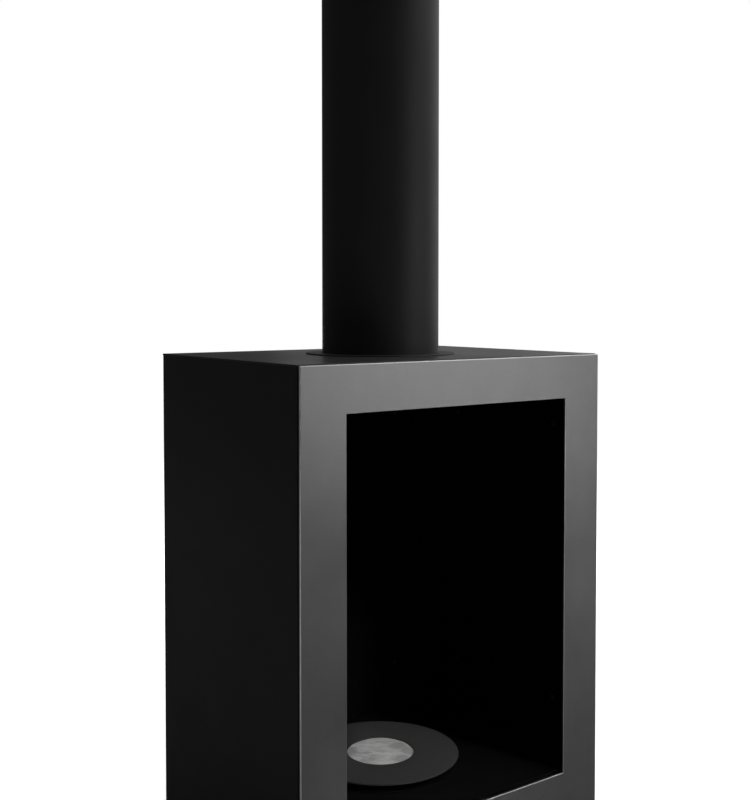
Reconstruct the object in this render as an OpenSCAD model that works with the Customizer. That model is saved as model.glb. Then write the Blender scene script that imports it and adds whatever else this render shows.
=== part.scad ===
// Free-standing bioethanol stove: a sheet-steel casing behind a thick front frame, a firebox with a
// round burner in its hearth, and a flue pipe on top. Millimetres, +Z up, the front faces -Y, and the
// origin is on the floor under the middle of the casing.

/* [Casing] */
// Width over the front frame and the casing
body_w = 456; // [454:2:520]
// Depth from the face of the front frame to the heads of the back screws
body_d = 332; // [320:2:400]
// Height of the casing without its feet
body_h = 595; // [560:5:700]
// Gap that the feet leave under the casing when they are screwed right in
foot_gap = 10; // [9:1:16]
// Thickness of the side, top and hearth sheets
sheet_t = 2; // [1.5:0.5:2.5]
// Thickness of the base plate
base_t = 3; // [2:0.5:4]
// Thickness of the removable back panel
back_t = 1; // [0.8:0.1:1.5]
// Width of the flanges folded in behind the front frame
front_flange_w = 24; // [22:1:26]
// Width of the flanges folded in behind the back panel
rear_flange_w = 14; // [12:1:16]

/* [Front frame] */
// Thickness of the front frame
frame_t = 4; // [3:0.5:6]
// Width of the frame's two stiles
stile_w = 60; // [50:1:70]
// Height of the frame's top rail
top_rail_h = 55; // [45:1:70]
// Height of the frame's bottom rail
bottom_rail_h = 60; // [55:1:80]
// Chamfer round the frame's face
frame_chamfer = 0.8; // [0.4:0.1:1.2]
// Shadow gap between the frame and the casing
shadow_gap = 1.5; // [1:0.5:3]
// How far the frame's top edge lies under the casing's top
frame_drop = 0.8; // [0:0.1:1.5]

/* [Firebox] */
// Thickness of the firebox liner
liner_t = 1.5; // [1:0.5:2]
// Air gap between the liner and the side panels
side_air_gap = 10.5; // [10:0.5:12]
// Air gap between the liner and the back panel
rear_air_gap = 21.5; // [18:0.5:30]
// Air gap between the firebox roof and the top panel
roof_air_gap = 21.5; // [20:0.5:24]

/* [Burner] */
// Outer radius of the fuel reservoir
can_r = 88; // [80:1:90]
// Depth of the fuel reservoir
can_h = 56; // [50:1:58]
// Wall of the fuel reservoir
can_t = 1.5; // [1:0.5:2]
// Height of the reservoir's rim above the hearth
rim_h = 10.7; // [7:0.1:12]
// Radius of the flange that the reservoir hangs by
flange_r = 100; // [98:1:102]
// Outer radius of the burner ring
ring_r = 102; // [98:1:110]
// Radius of the flame hole in the burner ring
ring_hole_r = 43.5; // [38:0.5:48]
// Thickness of the burner ring
ring_t = 2; // [1.5:0.5:4]

/* [Snuffer] */
// Radius of the snuffer lid
snuffer_r = 47; // [46:1:48]
// Where the lid rests on the hearth, from the middle of the burner
snuffer_at = [-162, -60];
// Height of the snuffer knob above its lid
knob_h = 22; // [20:1:26]

/* [Flue] */
// Outer radius of the flue pipe
pipe_r = 75; // [75:0.5:75.5]
// Wall of the flue pipe
pipe_t = 2; // [2:0.1:2.2]
// Length of the flue pipe
pipe_h = 500; // [300:10:1000]
// Depth of the sized socket at the top of the pipe
socket_h = 55; // [40:5:80]
// Outer radius of the rosette round the foot of the pipe
rosette_r = 96; // [93:1:110]
// Thickness of the rosette
rosette_t = 1.5; // [1:0.5:2]

/* [Feet] */
// Radius of a foot's pad
pad_r = 15; // [12:1:18]
// Radius of a foot's threaded stud
stud_r = 3.9; // [3.9:0.05:4]
// How far a foot screws out
foot_travel = 12; // [6:1:14]

/* [Hidden] */
$fn = 96;
EPS = 1;             // how far a cutter runs past the face that it opens
SEAT = 0.1;          // play between a loose piece and what it rests on

// Planes of the casing, along Y and Z
front_y = -body_d / 2;
frame_back_y = front_y + frame_t;
case_front_y = frame_back_y + shadow_gap;
screw_head_h = 2;
back_head_r = 4.5;
back_panel_y = body_d / 2 - screw_head_h - back_t;
half_w = body_w / 2;
inner_w = half_w - sheet_t;
bottom_z = foot_gap;
floor_z = bottom_z + base_t;
top_z = foot_gap + body_h;
ceiling_z = top_z - sheet_t;

// Window in the front frame
window_w = half_w - stile_w;
window_low = bottom_z + bottom_rail_h;
window_high = top_z - top_rail_h;

// Firebox
liner_x = inner_w - side_air_gap - liner_t;
liner_front_y = case_front_y + sheet_t;
liner_rear_y = back_panel_y - rear_air_gap - liner_t;
rail_z = window_low;
hearth_z = rail_z + sheet_t;
roof_z = ceiling_z - roof_air_gap - liner_t;
rail_leg = 20;
hearth_lip = 14;
hearth_hole_r = can_r + 1.5;
roof_hole_r = 70;

// Burner
rim_z = hearth_z + rim_h;
can_floor_z = rim_z - can_h;
ring_z = rim_z + SEAT;
wool_clear = 0.6;
wool_neck_r = can_r - 10;
pin_r = 2;
pin_circle_r = can_r - can_t - pin_r - 1;
pin_len = 9;
tray_r = can_r + 9;
tray_h = 24;
tray_t = 1.2;

// Snuffer
lid_t = 2;
lid_stud_h = 12;
knob_r = 10;

// Flue
collar_r = pipe_r - pipe_t - 0.2;
collar_t = 2;
collar_rise = 40;
collar_flange_r = pipe_r + 17;
collar_screw_circle_r = pipe_r + 9;
rosette_hole_r = pipe_r + 0.4;
socket_r = pipe_r - pipe_t + 0.25;
stop_r = pipe_r - pipe_t - 1.5;
stop_h = 3;
pipe_screw_z = top_z + collar_rise / 2;
pipe_screw_angles = [10, 70, 130];

// Fasteners
m5_r = 2.5;
m5_hole_r = 2.8;
m5_nut_af = 8;
m5_nut_h = 4;
m4_r = 2;
m4_hole_r = 2.2;
m4_head_r = 4;
m4_head_h = 2;
stud_x = (liner_x + liner_t + inner_w) / 2;
stud_zs = [110, 310, 510];
stud_row_x = 110;
stud_len = 13;
top_stud_z = (roof_z + liner_t + ceiling_z) / 2;
base_stud_z = floor_z + 11;
back_screw_x = inner_w - rear_flange_w / 2;
back_screw_zs = [60, 225, 390, 555];
wall_hole_r = 3.5;
wall_hole_x = 150;
wall_hole_z = ceiling_z - 11;
standoff_r = 5;
standoff_ys = [-100, 95];
standoff_zs = [140, 510];
rear_standoff_x = 130;
slot_zs = [36, 566];
slot_pitch = 58;
slot_l = 40;
slot_w = 5;

// Feet
foot_x = 195;
foot_y = 130;
pad_h = 6;
shoulder_r = 7;
foot_bore_r = stud_r + 0.3;
foot_nut_r = 8;
foot_nut_h = 10;
foot_stud_h = floor_z + foot_nut_h + foot_travel - 1;
foot_places = [for (y = [-foot_y, foot_y], x = [-foot_x, foot_x]) [x, y]];

// Colours
BLACK = [0.05, 0.05, 0.055];
GREY = [0.34, 0.34, 0.35];
SOOT = [0.02, 0.02, 0.02];
PLATE = [0.16, 0.16, 0.165];
WOOL = [0.62, 0.61, 0.59];
ZINC = [0.6, 0.6, 0.62];
STAINLESS = [0.66, 0.66, 0.67];

// ---- shared shapes ----

// A box between two opposite corners
module block(low, high) {
    translate(low) cube(high - low);
}

// A cylinder along +Y, from y0 to y1
module rod_y(r, x, z, y0, y1) {
    translate([x, y0, z]) rotate([-90, 0, 0]) cylinder(r = r, h = y1 - y0);
}

// A cylinder along +X, from x0 to x1
module rod_x(r, y, z, x0, x1) {
    translate([x0, y, z]) rotate([0, 90, 0]) cylinder(r = r, h = x1 - x0);
}

// A pan-head screw: the shank runs down from z = 0, and the head with its hex socket stands on it
module pan_screw(shank_r, shank_l, head_r, head_h) {
    translate([0, 0, -shank_l]) cylinder(r = shank_r, h = shank_l);
    difference() {
        rotate_extrude() polygon([
            [0, 0], [head_r, 0], [head_r, head_h * 0.4], [head_r * 0.82, head_h * 0.8],
            [head_r * 0.55, head_h], [0, head_h]
        ]);
        translate([0, 0, head_h * 0.35]) cylinder(r = head_r * 0.42, h = head_h, $fn = 6);
    }
}

// A hexagon nut on z = 0
module hex_nut(across_flats, h, bore_r) {
    difference() {
        cylinder(r = across_flats / 2 / cos(30), h = h, $fn = 6);
        translate([0, 0, -EPS]) cylinder(r = bore_r, h = h + 2 * EPS);
    }
}

// A flat ring on z = 0
module washer(outer_r, bore_r, h) {
    difference() {
        cylinder(r = outer_r, h = h);
        translate([0, 0, -EPS]) cylinder(r = bore_r, h = h + 2 * EPS);
    }
}

// Puts its children at every stud of the front frame, with +Z along +Y
module at_frame_studs(y) {
    for (x = [-stud_x, stud_x], z = stud_zs)
        translate([x, y, z]) rotate([-90, 0, 0]) children();
    for (x = [-stud_row_x, stud_row_x], z = [base_stud_z, top_stud_z])
        translate([x, y, z]) rotate([-90, 0, 0]) children();
}

// Puts its children at every screw of the back panel, with +Z along +Y
module at_back_screws(y) {
    for (x = [-back_screw_x, back_screw_x], z = back_screw_zs)
        translate([x, y, z]) rotate([-90, 0, 0]) children();
}

// Puts its children round the collar's screw circle
module at_collar_screws(z) {
    for (a = [45 : 90 : 315])
        rotate([0, 0, a]) translate([collar_screw_circle_r, 0, z]) children();
}

// A round-ended slot along X, cut through along Y
module slot_y(l, w, h) {
    rotate([90, 0, 0]) linear_extrude(h, center = true) union() {
        square([l - w, w], center = true);
        for (s = [-1, 1]) translate([s * (l - w) / 2, 0]) circle(r = w / 2);
    }
}

// ---- front frame ----

module front_frame() {
    frame_top_z = top_z - frame_drop;
    mid_z = (bottom_z + frame_top_z) / 2;
    cut = frame_chamfer * sqrt(2);
    color(GREY) difference() {
        block([-half_w, front_y, bottom_z], [half_w, frame_back_y, frame_top_z]);
        block([-window_w, front_y - EPS, window_low], [window_w, frame_back_y + EPS, window_high]);
        // the four outer edges of the face
        for (z = [bottom_z, frame_top_z])
            translate([0, front_y, z]) rotate([45, 0, 0]) cube([body_w + 2 * EPS, cut, cut], center = true);
        for (x = [-half_w, half_w])
            translate([x, front_y, mid_z]) rotate([0, 0, 45]) cube([cut, cut, body_h + 2 * EPS], center = true);
    }
}

module frame_studs() {
    color(ZINC) at_frame_studs(frame_back_y) cylinder(r = m5_r, h = stud_len);
}

module frame_spacers() {
    color(ZINC) at_frame_studs(frame_back_y) washer(m5_nut_af / 2, m5_hole_r, shadow_gap);
}

module frame_nuts() {
    color(ZINC) at_frame_studs(liner_front_y) hex_nut(m5_nut_af, m5_nut_h, m5_r);
}

module frame_stud_holes() {
    at_frame_studs(frame_back_y) cylinder(r = m5_hole_r, h = stud_len);
}

// ---- casing ----

// The right side panel: a sheet folded in at the front, at the back and at the top
module side_panel() {
    difference() {
        union() {
            block([inner_w, case_front_y, bottom_z], [half_w, back_panel_y, ceiling_z]);
            block([half_w - front_flange_w, case_front_y, bottom_z],
                  [inner_w, liner_front_y, ceiling_z]);
            block([inner_w - rear_flange_w, back_panel_y - sheet_t, floor_z],
                  [inner_w, back_panel_y, ceiling_z]);
            block([inner_w - rear_flange_w, liner_front_y, ceiling_z - sheet_t],
                  [inner_w, back_panel_y - sheet_t, ceiling_z]);
        }
        frame_stud_holes();
        at_back_screws(back_panel_y - sheet_t - EPS) cylinder(r = m4_hole_r, h = sheet_t + 2 * EPS);
        for (y = standoff_ys, z = standoff_zs) rod_x(m4_hole_r, y, z, inner_w - EPS, half_w - 1);
    }
}

module left_side_panel() {
    color(BLACK) mirror([1, 0, 0]) side_panel();
}

module right_side_panel() {
    color(BLACK) side_panel();
}

module top_panel() {
    flange_w = half_w - front_flange_w;
    rear_w = inner_w - rear_flange_w;
    color(BLACK) difference() {
        union() {
            block([-half_w, case_front_y, ceiling_z], [half_w, back_panel_y + back_t, top_z]);
            block([-flange_w, case_front_y, ceiling_z - front_flange_w + sheet_t],
                  [flange_w, liner_front_y, ceiling_z]);
            block([-rear_w, back_panel_y - sheet_t, ceiling_z - front_flange_w + sheet_t],
                  [rear_w, back_panel_y, ceiling_z]);
        }
        translate([0, 0, ceiling_z - EPS]) cylinder(r = collar_r + 0.4, h = sheet_t + 2 * EPS);
        at_collar_screws(ceiling_z - EPS) cylinder(r = m4_hole_r, h = sheet_t + 2 * EPS);
        frame_stud_holes();
        wall_holes();
    }
}

module wall_holes() {
    for (x = [-wall_hole_x, wall_hole_x])
        rod_y(wall_hole_r, x, wall_hole_z, back_panel_y - sheet_t - EPS, back_panel_y + back_t + EPS);
}

module base_plate() {
    flange_w = half_w - front_flange_w;
    color(BLACK) difference() {
        union() {
            block([-inner_w, liner_front_y, bottom_z], [inner_w, back_panel_y, floor_z]);
            block([-flange_w, case_front_y, bottom_z], [flange_w, liner_front_y, bottom_z + front_flange_w]);
        }
        frame_stud_holes();
        for (f = foot_places)
            translate([f[0], f[1], bottom_z - EPS]) cylinder(r = foot_bore_r + 0.3, h = base_t + 2 * EPS);
    }
}

module back_panel() {
    color(BLACK) difference() {
        block([-inner_w, back_panel_y, bottom_z], [inner_w, back_panel_y + back_t, ceiling_z]);
        at_back_screws(back_panel_y - EPS) cylinder(r = m4_hole_r, h = back_t + 2 * EPS);
        wall_holes();
        for (z = slot_zs, i = [-2 : 2])
            translate([i * slot_pitch, back_panel_y + back_t / 2, z]) slot_y(slot_l, slot_w, back_t + 2 * EPS);
    }
}

module back_screws() {
    color(BLACK) at_back_screws(back_panel_y + back_t) pan_screw(m4_r, 12, back_head_r, screw_head_h);
}

// ---- firebox ----

// The right wall of the liner
module side_liner() {
    difference() {
        block([liner_x, liner_front_y, rail_z], [liner_x + liner_t, liner_rear_y, roof_z]);
        for (y = standoff_ys, z = standoff_zs)
            rod_x(m4_hole_r, y, z, liner_x - EPS, liner_x + liner_t + EPS);
    }
}

module left_liner() {
    color(SOOT) mirror([1, 0, 0]) side_liner();
}

module right_liner() {
    color(SOOT) side_liner();
}

module rear_liner() {
    outer_x = liner_x + liner_t;
    color(SOOT) difference() {
        block([-outer_x, liner_rear_y, rail_z], [outer_x, liner_rear_y + liner_t, roof_z]);
        for (x = [-rear_standoff_x, rear_standoff_x], z = standoff_zs)
            rod_y(m4_hole_r, x, z, liner_rear_y - EPS, liner_rear_y + liner_t + EPS);
    }
}

module firebox_roof() {
    outer_x = liner_x + liner_t;
    color(SOOT) difference() {
        block([-outer_x, liner_front_y, roof_z], [outer_x, liner_rear_y + liner_t, roof_z + liner_t]);
        translate([0, 0, roof_z - EPS]) cylinder(r = roof_hole_r, h = liner_t + 2 * EPS);
    }
}

// Spacer tubes that hold the liner off the casing
module liner_standoffs() {
    side_gap = inner_w - liner_x - liner_t;
    color(ZINC) {
        for (s = [-1, 1], y = standoff_ys, z = standoff_zs)
            translate([s > 0 ? liner_x + liner_t : -inner_w, y, z]) rotate([0, 90, 0])
                washer(standoff_r, m4_hole_r, side_gap);
        for (x = [-rear_standoff_x, rear_standoff_x], z = standoff_zs)
            translate([x, liner_rear_y + liner_t, z]) rotate([-90, 0, 0])
                washer(standoff_r, m4_hole_r, back_panel_y - liner_rear_y - liner_t);
    }
}

module liner_screws() {
    side_shank = inner_w - liner_x + 0.8;
    rear_shank = back_panel_y - liner_rear_y - 1;
    color(SOOT) {
        for (y = standoff_ys, z = standoff_zs) {
            translate([liner_x, y, z]) rotate([0, -90, 0]) pan_screw(m4_r, side_shank, m4_head_r, m4_head_h);
            translate([-liner_x, y, z]) rotate([0, 90, 0]) pan_screw(m4_r, side_shank, m4_head_r, m4_head_h);
        }
        for (x = [-rear_standoff_x, rear_standoff_x], z = standoff_zs)
            translate([x, liner_rear_y, z]) rotate([90, 0, 0]) pan_screw(m4_r, rear_shank, m4_head_r, m4_head_h);
    }
}

// An angle welded to the side panel: the hearth and the liner wall stand on its level leg
module hearth_rail() {
    block([inner_w - rail_leg, liner_front_y, rail_z - sheet_t], [inner_w, liner_rear_y, rail_z]);
    block([inner_w - sheet_t, liner_front_y, rail_z - rail_leg], [inner_w, liner_rear_y, rail_z - sheet_t]);
}

module left_hearth_rail() {
    color(BLACK) mirror([1, 0, 0]) hearth_rail();
}

module right_hearth_rail() {
    color(BLACK) hearth_rail();
}

// A folded strut across the back: it stands on the base plate and carries the hearth's rear edge
module rear_hearth_rail() {
    x = inner_w - rail_leg - 1;
    y = liner_rear_y + liner_t;
    color(BLACK) {
        block([-x, y, floor_z], [x, y + sheet_t, rail_z]);
        block([-x, y - rail_leg, rail_z - sheet_t], [x, y, rail_z]);
        block([-x, y + sheet_t, floor_z], [x, y + 18, floor_z + sheet_t]);
    }
}

module hearth_plate() {
    x = liner_x - 0.5;
    color(SOOT) difference() {
        union() {
            block([-x, liner_front_y, rail_z], [x, liner_rear_y, hearth_z]);
            block([-(inner_w - rail_leg - 1), liner_front_y, rail_z - hearth_lip],
                  [inner_w - rail_leg - 1, liner_front_y + sheet_t, rail_z]);
        }
        translate([0, 0, rail_z - EPS]) cylinder(r = hearth_hole_r, h = sheet_t + 2 * EPS);
    }
}

module overflow_tray() {
    color(STAINLESS) translate([0, 0, floor_z]) rotate_extrude() polygon([
        [0, 0], [tray_r, 0], [tray_r, tray_h], [tray_r - tray_t, tray_h],
        [tray_r - tray_t, tray_t], [0, tray_t]
    ]);
}

// ---- burner ----

module fuel_reservoir() {
    flange_z = hearth_z + SEAT;
    color(BLACK) rotate_extrude() polygon([
        [0, can_floor_z], [can_r, can_floor_z], [can_r, flange_z], [flange_r, flange_z],
        [flange_r, flange_z + can_t], [can_r, flange_z + can_t], [can_r, rim_z],
        [can_r - can_t, rim_z], [can_r - can_t, can_floor_z + can_t], [0, can_floor_z + can_t]
    ]);
}

// The wool fills the can and swells a little way into the flame hole
module ceramic_wool() {
    body_r = can_r - can_t - 0.5;
    swell_r = ring_hole_r - wool_clear;
    top = rim_z - wool_clear;
    swell_z = ring_z + ring_t;
    color(WOOL) rotate_extrude() polygon([
        [0, can_floor_z + can_t], [body_r, can_floor_z + can_t], [body_r, top - 16],
        [wool_neck_r, top - 12], [wool_neck_r, top], [swell_r, top], [swell_r, swell_z - 0.8],
        [swell_r - 2, swell_z - 0.2], [swell_r * 0.6, swell_z + 0.2], [0, swell_z + 0.5]
    ]);
}

module burner_ring() {
    edge = 0.4;
    color(PLATE) translate([0, 0, ring_z]) rotate_extrude() polygon([
        [ring_hole_r, 0], [ring_r - edge, 0], [ring_r, edge], [ring_r, ring_t - edge],
        [ring_r - edge, ring_t], [ring_hole_r + edge, ring_t], [ring_hole_r, ring_t - edge]
    ]);
}

// Three pins under the ring centre it inside the reservoir's rim
module ring_pins() {
    color(ZINC) for (a = [30 : 120 : 270])
        rotate([0, 0, a]) translate([pin_circle_r, 0, ring_z - pin_len]) cylinder(r = pin_r, h = pin_len);
}

// ---- snuffer ----

// A flat disc with an eased edge and a welded stud for the knob
module snuffer_lid() {
    edge = 0.5;
    color(PLATE) translate([snuffer_at[0], snuffer_at[1], hearth_z + SEAT]) rotate_extrude() polygon([
        [0, 0], [snuffer_r, 0], [snuffer_r, lid_t - edge], [snuffer_r - edge, lid_t],
        [m5_r, lid_t], [m5_r, lid_t + lid_stud_h], [0, lid_t + lid_stud_h]
    ]);
}

// A waisted knob on a round foot, with a blind hole for the lid's stud
module snuffer_knob() {
    bore_r = m5_r + SEAT;
    bore_h = lid_stud_h + 0.5;
    foot_r = knob_r * 0.7;
    waist_r = knob_r * 0.5;
    color(BLACK) translate([snuffer_at[0], snuffer_at[1], hearth_z + SEAT + lid_t]) rotate_extrude() polygon([
        [bore_r, 0], [foot_r, 0], [foot_r, 1.5], [waist_r, 3], [waist_r, 7], [knob_r * 0.8, 10],
        [knob_r, 13], [knob_r, knob_h - 4], [knob_r * 0.85, knob_h - 1.2], [knob_r * 0.6, knob_h],
        [0, knob_h], [0, bore_h], [bore_r, bore_h]
    ]);
}

// ---- flue ----

module flue_collar() {
    tube_low = roof_z + liner_t;
    color(BLACK) difference() {
        rotate_extrude() polygon([
            [collar_r - collar_t, tube_low], [collar_r, tube_low], [collar_r, ceiling_z - sheet_t],
            [collar_flange_r, ceiling_z - sheet_t], [collar_flange_r, ceiling_z],
            [collar_r, ceiling_z], [collar_r, top_z + collar_rise],
            [collar_r - collar_t, top_z + collar_rise]
        ]);
        at_collar_screws(ceiling_z - sheet_t - EPS) cylinder(r = m4_hole_r, h = sheet_t + 2 * EPS);
        pipe_screw_holes(m4_hole_r);
    }
}

module collar_screws() {
    color(ZINC) at_collar_screws(ceiling_z - sheet_t) mirror([0, 0, 1])
        pan_screw(m4_r, 2 * sheet_t, m4_head_r, m4_head_h);
}

module pipe_screw_holes(r) {
    for (a = pipe_screw_angles)
        rotate([0, 0, a]) rod_x(r, 0, pipe_screw_z, collar_r - collar_t - EPS, pipe_r + EPS);
}

module flue_pipe() {
    pipe_top = top_z + pipe_h;
    socket_z = pipe_top - socket_h;
    inner_r = pipe_r - pipe_t;
    lip = 0.4;
    // the next pipe slides into the socket until it meets the stop ring
    color(BLACK) difference() {
        rotate_extrude() polygon([
            [inner_r, top_z], [pipe_r, top_z], [pipe_r, pipe_top - lip], [pipe_r - lip, pipe_top],
            [socket_r, pipe_top], [socket_r, socket_z], [stop_r, socket_z],
            [stop_r, socket_z - stop_h], [inner_r, socket_z - stop_h]
        ]);
        pipe_screw_holes(m4_hole_r);
    }
}

module pipe_screws() {
    color(BLACK) for (a = pipe_screw_angles)
        rotate([0, 0, a]) translate([pipe_r, 0, pipe_screw_z]) rotate([0, 90, 0])
            pan_screw(m4_r, pipe_t + collar_t + 0.5, m4_head_r, m4_head_h);
}

// A thin ring that lies loose round the pipe and hides the hole in the top panel
module pipe_rosette() {
    edge = rosette_t * 0.4;
    color(BLACK) translate([0, 0, top_z + SEAT]) rotate_extrude() polygon([
        [rosette_hole_r, 0], [rosette_r, 0], [rosette_r, rosette_t - edge],
        [rosette_r - edge, rosette_t], [rosette_hole_r, rosette_t]
    ]);
}

// ---- feet ----

// Weld nuts on the base plate, one for each foot
module foot_nuts() {
    color(ZINC) for (f = foot_places)
        translate([f[0], f[1], floor_z]) washer(foot_nut_r, foot_bore_r, foot_nut_h);
}

// A levelling foot, screwed right in: pad, shoulder and stud
module levelling_foot(place) {
    stud_low = bottom_z - 3 * SEAT;
    color(BLACK) translate([place[0], place[1], 0]) rotate_extrude() polygon([
        [0, 0], [pad_r - 1, 0], [pad_r, 1], [pad_r, pad_h - 1], [pad_r - 1, pad_h],
        [shoulder_r, pad_h], [shoulder_r, stud_low], [stud_r, stud_low],
        [stud_r, foot_stud_h - 1], [stud_r - 1, foot_stud_h], [0, foot_stud_h]
    ]);
}

module foot_front_left() {
    levelling_foot(foot_places[0]);
}

module foot_front_right() {
    levelling_foot(foot_places[1]);
}

module foot_rear_left() {
    levelling_foot(foot_places[2]);
}

module foot_rear_right() {
    levelling_foot(foot_places[3]);
}

front_frame();
frame_studs();
frame_spacers();
frame_nuts();
left_side_panel();
right_side_panel();
top_panel();
base_plate();
back_panel();
back_screws();
left_liner();
right_liner();
rear_liner();
firebox_roof();
liner_standoffs();
liner_screws();
left_hearth_rail();
right_hearth_rail();
rear_hearth_rail();
hearth_plate();
overflow_tray();
fuel_reservoir();
ceramic_wool();
burner_ring();
ring_pins();
snuffer_lid();
snuffer_knob();
flue_collar();
collar_screws();
flue_pipe();
pipe_screws();
pipe_rosette();
foot_nuts();
foot_front_left();
foot_front_right();
foot_rear_left();
foot_rear_right();
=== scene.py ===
"""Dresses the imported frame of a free-standing bioethanol stove.

Sheet-metal nodes keep their own solids, with eased edges and a finish. Turned, soft, welded and
threaded pieces are built here on finer meshes and stand for their plain solids. Lengths are metres
in the frame's own axes: +Z up, the front faces -Y.
"""

import logging
import math
from dataclasses import dataclass, field
from enum import Enum
from typing import Any, Callable, ClassVar, Iterable, Sequence

import bmesh
import bpy
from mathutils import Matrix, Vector, noise


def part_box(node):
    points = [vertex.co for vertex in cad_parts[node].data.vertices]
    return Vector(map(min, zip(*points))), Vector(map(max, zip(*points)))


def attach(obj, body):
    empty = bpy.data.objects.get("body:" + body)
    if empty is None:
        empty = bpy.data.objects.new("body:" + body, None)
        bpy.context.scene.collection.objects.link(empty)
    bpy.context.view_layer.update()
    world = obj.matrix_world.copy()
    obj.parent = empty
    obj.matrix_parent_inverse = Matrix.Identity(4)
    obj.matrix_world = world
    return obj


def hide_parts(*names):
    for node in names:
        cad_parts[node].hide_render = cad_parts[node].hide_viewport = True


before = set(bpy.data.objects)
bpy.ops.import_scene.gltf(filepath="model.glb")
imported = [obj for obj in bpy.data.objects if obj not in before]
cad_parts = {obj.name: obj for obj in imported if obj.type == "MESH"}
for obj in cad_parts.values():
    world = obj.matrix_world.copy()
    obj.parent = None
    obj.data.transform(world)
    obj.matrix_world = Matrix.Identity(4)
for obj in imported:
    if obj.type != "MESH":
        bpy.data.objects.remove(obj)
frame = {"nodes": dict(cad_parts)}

LOG = logging.getLogger("stove")
MM = 0.001
Point2 = tuple[float, float]
Point3 = tuple[float, float, float]
Colour = tuple[float, float, float]
Shape = Callable[[float, float, float], Point2]
Node, Socket, Tree = bpy.types.Node, bpy.types.NodeSocket, bpy.types.NodeTree
Material, Piece = bpy.types.Material, bpy.types.Object

# Direction in which the wool's fibres lie, in degrees from +X towards +Y.
WOOL_LIE_DEG = -36.0


# ---------------------------------------------------------------- shader graphs


class Graph:
    """Writes a shader node tree in short lines."""

    number_results: ClassVar[tuple[str, ...]] = ("DOT_PRODUCT", "DISTANCE", "LENGTH")

    def __init__(self, tree: Tree) -> None:
        """Starts writing in the given tree."""
        self.tree = tree

    def add(self, kind: str, wires: dict[Any, Any] | None = None, **settings: Any) -> Node:
        """Adds one node.

        Args:
            kind: Blender's name of the node type, without its leading "ShaderNode".
            wires: what goes into each input; a socket is linked, anything else is set.
            **settings: properties of the node itself.

        Returns:
            The new node.
        """
        node = self.tree.nodes.new("ShaderNode" + kind)
        for name, value in settings.items():
            setattr(node, name, value)
        for key, value in (wires or {}).items():
            self.plug(node, key, value)
        return node

    def plug(self, node: Node, key: Any, value: Any) -> None:
        """Feeds one input of a node.

        Args:
            node: the node.
            key: the input's name or number.
            value: a socket to link, or a plain value to set.
        """
        if isinstance(value, Socket):
            self.tree.links.new(value, node.inputs[key])
        else:
            node.inputs[key].default_value = value

    def place(self) -> Socket:
        """The shaded point in the piece's own axes."""
        return self.add("TexCoord").outputs["Object"]

    def normal(self) -> Socket:
        """The surface's normal, without any bump."""
        return self.add("NewGeometry").outputs["Normal"]

    def math(self, operation: str, *values: Any, clamp: bool = False) -> Socket:
        """Adds a Math node.

        Args:
            operation: Blender's name of the operation.
            *values: the operands, sockets or numbers.
            clamp: whether the result is kept between 0 and 1.

        Returns:
            The node's output.
        """
        node = self.add("Math", dict(enumerate(values)), operation=operation, use_clamp=clamp)
        return node.outputs[0]

    def vector(self, operation: str, *values: Any) -> Socket:
        """Adds a Vector Math node.

        Args:
            operation: Blender's name of the operation.
            *values: the operands, sockets or vectors.

        Returns:
            The result, a number or a vector as the operation has it.
        """
        node = self.add("VectorMath", dict(enumerate(values)), operation=operation)
        return node.outputs["Value" if operation in self.number_results else "Vector"]

    def noise(self, vector: Any, scale: Any, detail: float = 2.0, roughness: float = 0.5) -> Socket:
        """Adds a noise texture.

        Args:
            vector: where the noise is read.
            scale: waves in a metre.
            detail: how many finer octaves lie on top.
            roughness: how strong the finer octaves are.

        Returns:
            The noise's value, about 0.5 on average.
        """
        wires = {"Vector": vector, "Scale": scale, "Detail": detail, "Roughness": roughness}
        return self.add("TexNoise", wires).outputs["Fac"]

    def ramp(self, value: Any, low: Any, high: Any, to_low: float = 0.0, to_high: float = 1.0) -> Socket:
        """Maps a value smoothly from one span to another.

        Args:
            value: the socket to map.
            low: the value that gives to_low.
            high: the value that gives to_high.
            to_low: result at and below low.
            to_high: result at and above high.

        Returns:
            The mapped value.
        """
        wires = {"Value": value, "From Min": low, "From Max": high, "To Min": to_low, "To Max": to_high}
        return self.add("MapRange", wires, interpolation_type="SMOOTHSTEP").outputs["Result"]

    def blend(self, factor: Any, first: Any, second: Any) -> Socket:
        """Mixes two colours.

        Args:
            factor: share of the second colour.
            first: a socket or a colour.
            second: a socket or a colour.

        Returns:
            The mixed colour.
        """
        wires = {0: factor, 6: opaque(first), 7: opaque(second)}
        return self.add("Mix", wires, data_type="RGBA").outputs[2]

    def stretched(self, vector: Socket, waves: Point3) -> Socket:
        """A vector scaled along each of its axes."""
        return self.add("Mapping", {"Vector": vector, "Scale": waves}).outputs[0]

    def bump(self, shader: Node, height: Socket, strength: float = 1.0) -> None:
        """Feeds a height in metres into a shader's normal."""
        node = self.add("Bump", {"Height": height, "Strength": strength, "Distance": 1.0})
        self.plug(shader, "Normal", node.outputs["Normal"])


def opaque(colour: Any) -> Any:
    """Gives a plain colour its alpha, and leaves a socket as it is."""
    return colour if isinstance(colour, Socket) else (*colour, 1.0)


def grey(level: float) -> Colour:
    """A neutral colour."""
    return (level, level, level)


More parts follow.
